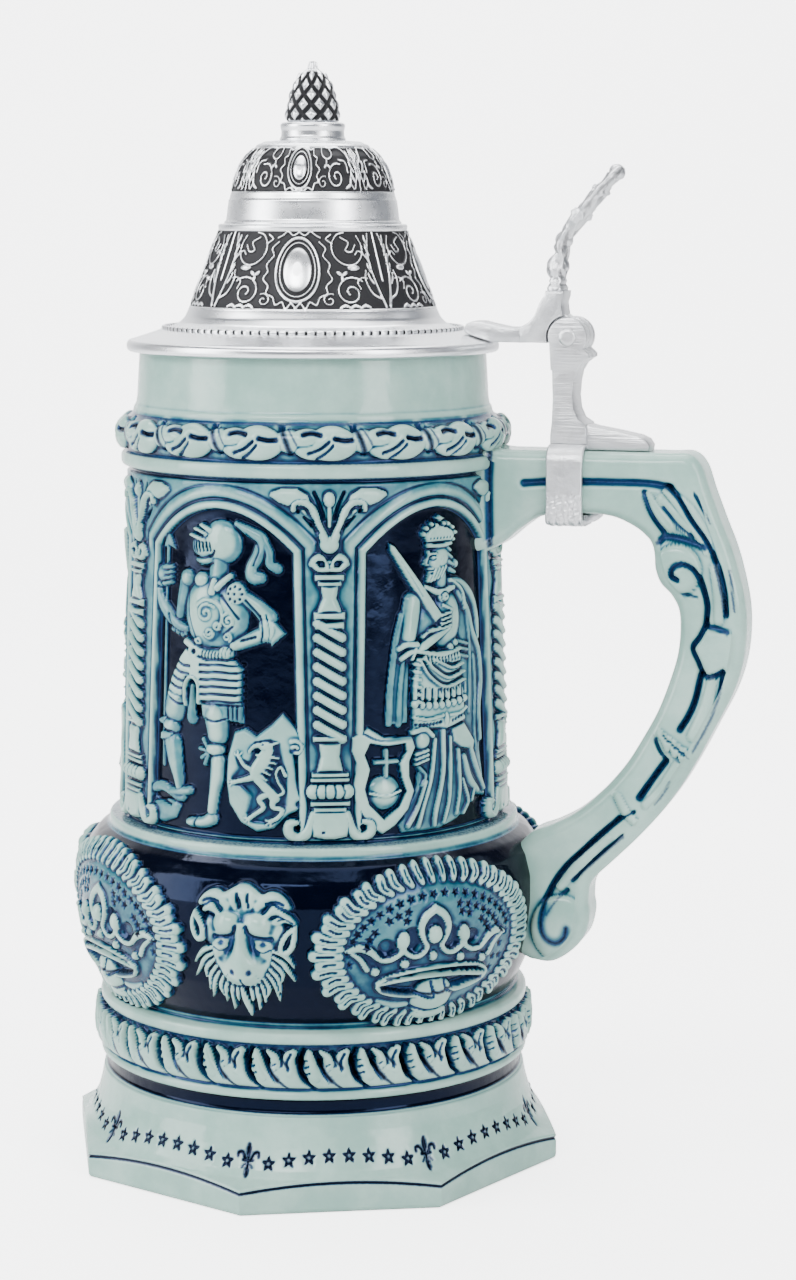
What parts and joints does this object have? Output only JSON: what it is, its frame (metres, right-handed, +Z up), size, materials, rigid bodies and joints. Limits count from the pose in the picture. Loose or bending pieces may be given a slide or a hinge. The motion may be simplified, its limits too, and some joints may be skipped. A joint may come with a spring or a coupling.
{
  "type": "lidded beer stein",
  "caption": "Relief-decorated stoneware stein with an octagonal foot, an ear handle and a hinged steeple-shaped pewter lid with a thumblift.",
  "frame": {"origin": "centre of the foot's flat underside, on the vessel's axis", "axes": "+Z up along the vessel's axis; +X towards the handle; +Y to the left seen from the handle's side"},
  "size_m": [0.194, 0.144, 0.305],
  "materials": {
    "stoneware": "pale celadon glaze, cobalt in the grounds and grooves",
    "pewter": "polished pewter with blackened recesses",
    "cast_pewter": "dull cast pewter"
  },
  "bodies": {
    "stein": {"stoneware_body": "stoneware", "handle": "stoneware", "handle_strap": "cast_pewter", "strap_closure": "cast_pewter", "hinge_post": "cast_pewter", "hinge_pin": "cast_pewter"},
    "lid": {"lid_flange": "pewter", "lid_bead_ring": "pewter", "lid_lower_cone": "pewter", "lid_upper_dome": "pewter", "finial_collar": "pewter", "finial": "pewter", "hinge_lever": "cast_pewter", "thumblift": "cast_pewter"}
  },
  "joints": [
    {"name": "lid_hinge", "type": "hinge", "parent": "stein", "child": "lid", "pos_m": [0.073, 0, 0.231], "axis": [0, 1, 0], "range_deg": [0, 95]}
  ]
}
